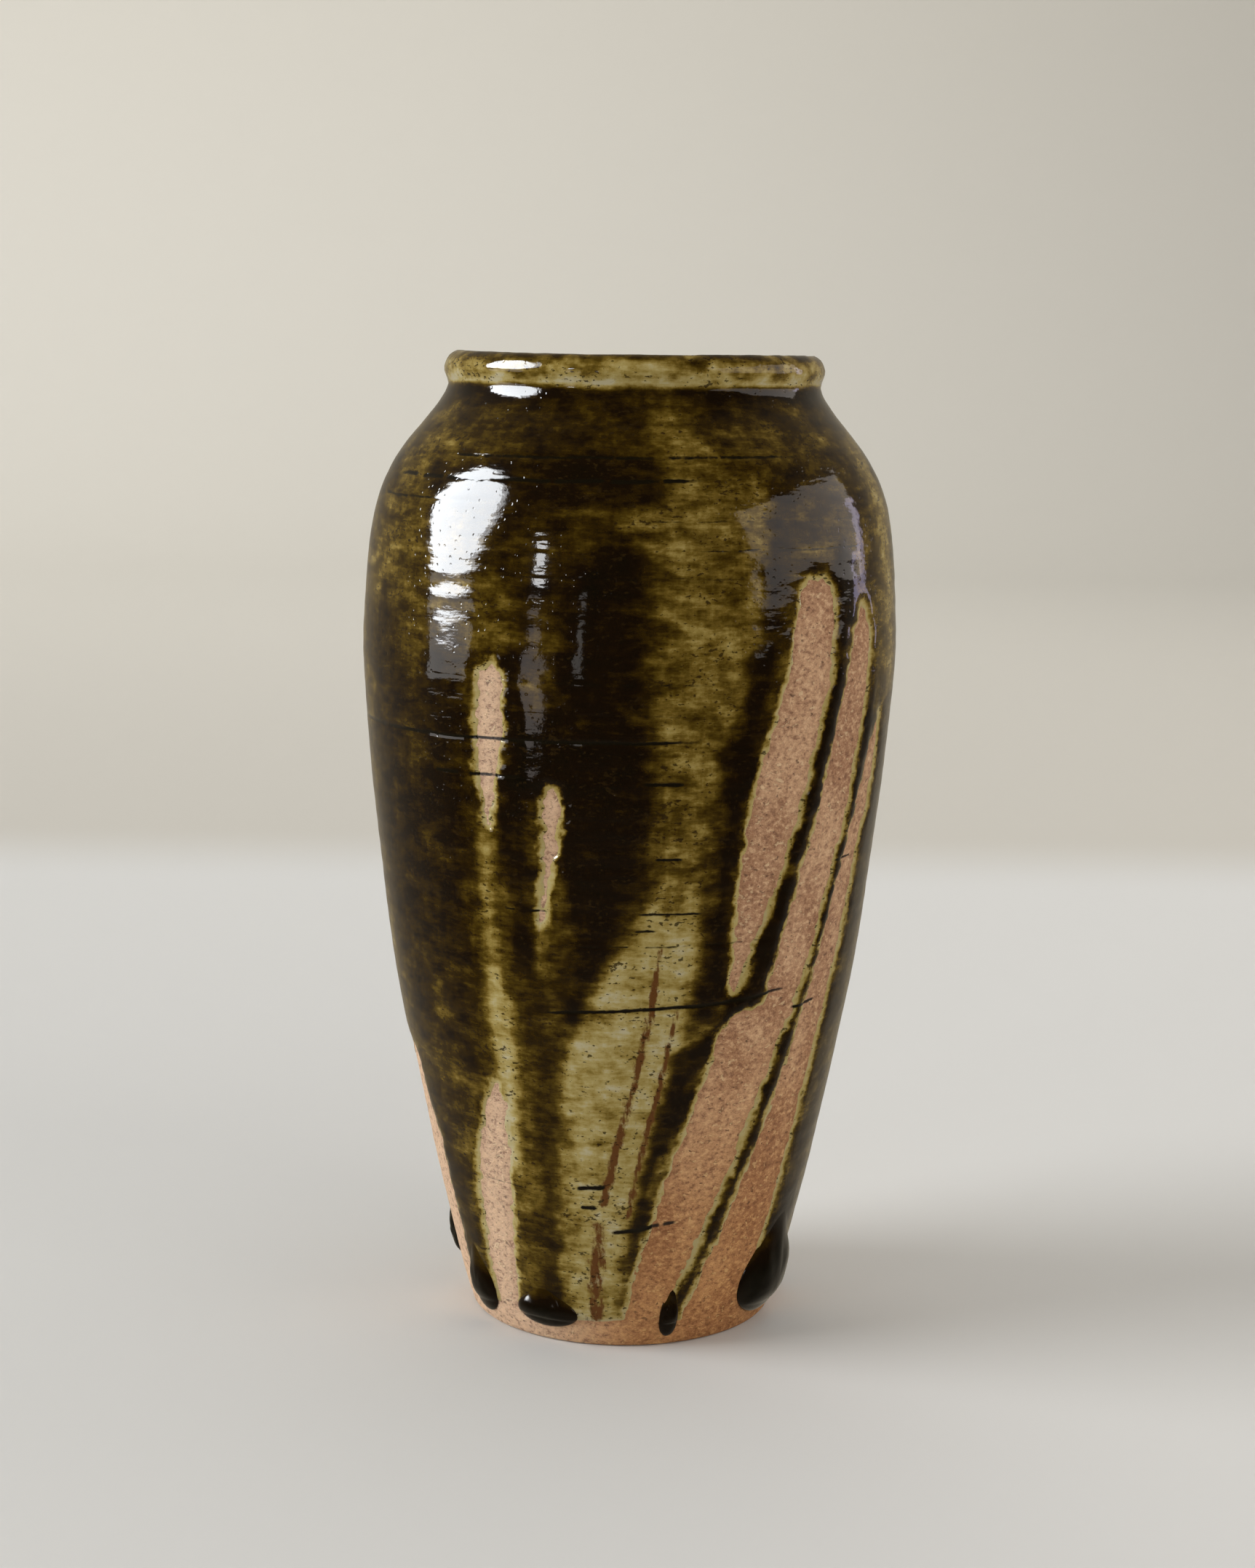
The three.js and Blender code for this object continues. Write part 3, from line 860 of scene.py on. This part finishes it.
def flat_lamp(name, shape, place_at, facing, width, height, radiance, colour, lights):
    """A flat lamp at one point that faces another.
    It lights everything, or only gives diffuse light, or only shows as a reflection."""
    area = width * height * (math.pi / 4 if shape == "ELLIPSE" else 1)
    lamp = bpy.data.lights.new(name, "AREA")
    lamp.shape = shape
    lamp.size = width
    lamp.size_y = height
    lamp.energy = radiance * math.pi * area
    lamp.color = colour
    thing = bpy.data.objects.new(name, lamp)
    thing.location = place_at
    thing.rotation_euler = (place_at - facing).to_track_quat("Z", "Y").to_euler()
    thing.visible_camera = False
    thing.visible_glossy = lights != "diffuse"
    thing.visible_diffuse = lights != "gloss"
    bpy.context.scene.collection.objects.link(thing)


def lamp_round_vase(name, shape, azimuth, elevation, distance, *rest):
    """A lamp facing the vase, seen from it at an angle round from the camera and above the floor."""
    a, e = math.radians(azimuth), math.radians(elevation)
    away = Vector((math.sin(a) * math.cos(e), -math.cos(a) * math.cos(e), math.sin(e)))
    middle = Vector((0, 0, 0.08))
    flat_lamp(name, shape, middle + away * distance, middle, *rest)


def wall_wash():
    """A lamp over the far end of the sweep that brightens its left side."""
    place_at = Vector((-0.55, 1.15, 1.2))
    facing = Vector((-0.35, 1.9, 0.35))
    flat_lamp("wall_wash", "RECTANGLE", place_at, facing, 1.8, 0.5, 2.7, (1.0, 0.99, 0.96), "diffuse")


def build_world():
    """Dim warm room light: darkest on the camera's side, brighter behind the vase, and grey straight down,
    where polished surfaces see it in place of the sweep."""
    world = bpy.data.worlds.new("room")
    world.use_nodes = True
    nodes, links = world.node_tree.nodes, world.node_tree.links
    split = nodes.new("ShaderNodeSeparateXYZ")
    links.new(nodes.new("ShaderNodeTexCoord").outputs["Generated"], split.inputs[0])
    total = None
    for axis, start, end, low, high in (("Y", -0.2, 0.9, 0.03, 0.28), ("Z", -0.30, -0.80, 0.0, 0.12)):
        rise = nodes.new("ShaderNodeMapRange")
        rise.inputs["From Min"].default_value = start
        rise.inputs["From Max"].default_value = end
        rise.inputs["To Min"].default_value = low
        rise.inputs["To Max"].default_value = high
        links.new(split.outputs[axis], rise.inputs["Value"])
        if total is None:
            total = rise.outputs[0]
        else:
            both = nodes.new("ShaderNodeMath")
            links.new(total, both.inputs[0])
            links.new(rise.outputs[0], both.inputs[1])
            total = both.outputs[0]
    background = nodes["Background"]
    background.inputs["Color"].default_value = (1.0, 0.88, 0.68, 1)
    links.new(total, background.inputs["Strength"])
    bpy.context.scene.world = world


def build_camera():
    """A 50 mm lens at the height of the lip, close in."""
    lens = 50.0
    frame_height = 30.0
    distance = 0.4098
    pitch = math.radians(9.35)
    roll = math.radians(0.8)
    camera = bpy.data.cameras.new("camera")
    camera.lens = lens
    camera.sensor_width = frame_height
    thing = bpy.data.objects.new("camera", camera)
    eye = Vector((0, -distance, cad_high.z))
    ahead = Vector((0, math.cos(pitch), -math.sin(pitch)))
    turn = ahead.to_track_quat("-Z", "Y").to_matrix() @ Matrix.Rotation(roll, 3, "Z")
    thing.matrix_world = Matrix.Translation(eye) @ turn.to_4x4()
    bpy.context.scene.collection.objects.link(thing)
    bpy.context.scene.camera = thing


# Lamps: (name, shape, azimuth, elevation, distance, width, height, radiance, colour, what it lights).
# The dim ones stand for what the window lights up below and beside it.
DAYLIGHT = (0.97, 0.98, 1.0)
LAMPS = [
    ("tall_window", "ELLIPSE", -83, 21.5, 5.0, 3.33, 4.00, 6.9, DAYLIGHT, "all"),
    ("window_sky", "ELLIPSE", -84, 21.5, 5.0, 3.00, 3.73, 13.5, (0.90, 0.95, 1.0), "gloss"),
    ("below_window", "RECTANGLE", -80, -1.7, 0.60, 0.26, 0.115, 1.8, (1.0, 0.96, 0.92), "gloss"),
    ("far_window", "RECTANGLE", -39, 10, 1.4, 0.11, 0.18, 14.0, DAYLIGHT, "all"),
    ("below_far_window", "RECTANGLE", -39, -3.6, 0.40, 0.036, 0.13, 1.4, (1.0, 0.90, 0.85), "gloss"),
    ("door_gap", "RECTANGLE", -21, 0.7, 0.50, 0.026, 0.088, 1.2, (1.0, 0.95, 0.90), "gloss"),
    ("right_wall", "RECTANGLE", 84, 18, 1.3, 1.7, 0.75, 1.10, (1.0, 0.92, 0.86), "all"),
    ("right_edge", "RECTANGLE", 116, 8, 1.0, 0.09, 0.40, 1.8, (0.74, 0.68, 1.0), "gloss"),
    ("ceiling", "RECTANGLE", 150, 70, 1.3, 1.4, 1.4, 0.9, (1.0, 0.98, 0.96), "diffuse"),
    ("room_fill", "RECTANGLE", 35, 32, 1.3, 1.4, 1.2, 1.1, (1.0, 0.97, 0.93), "diffuse"),
]

build_sweep(sweep_material())
build_backdrop(backdrop_material())
for lamp_numbers in LAMPS:
    lamp_round_vase(*lamp_numbers)
wall_wash()
build_world()
build_camera()
bpy.context.scene.view_settings.view_transform = "Standard"
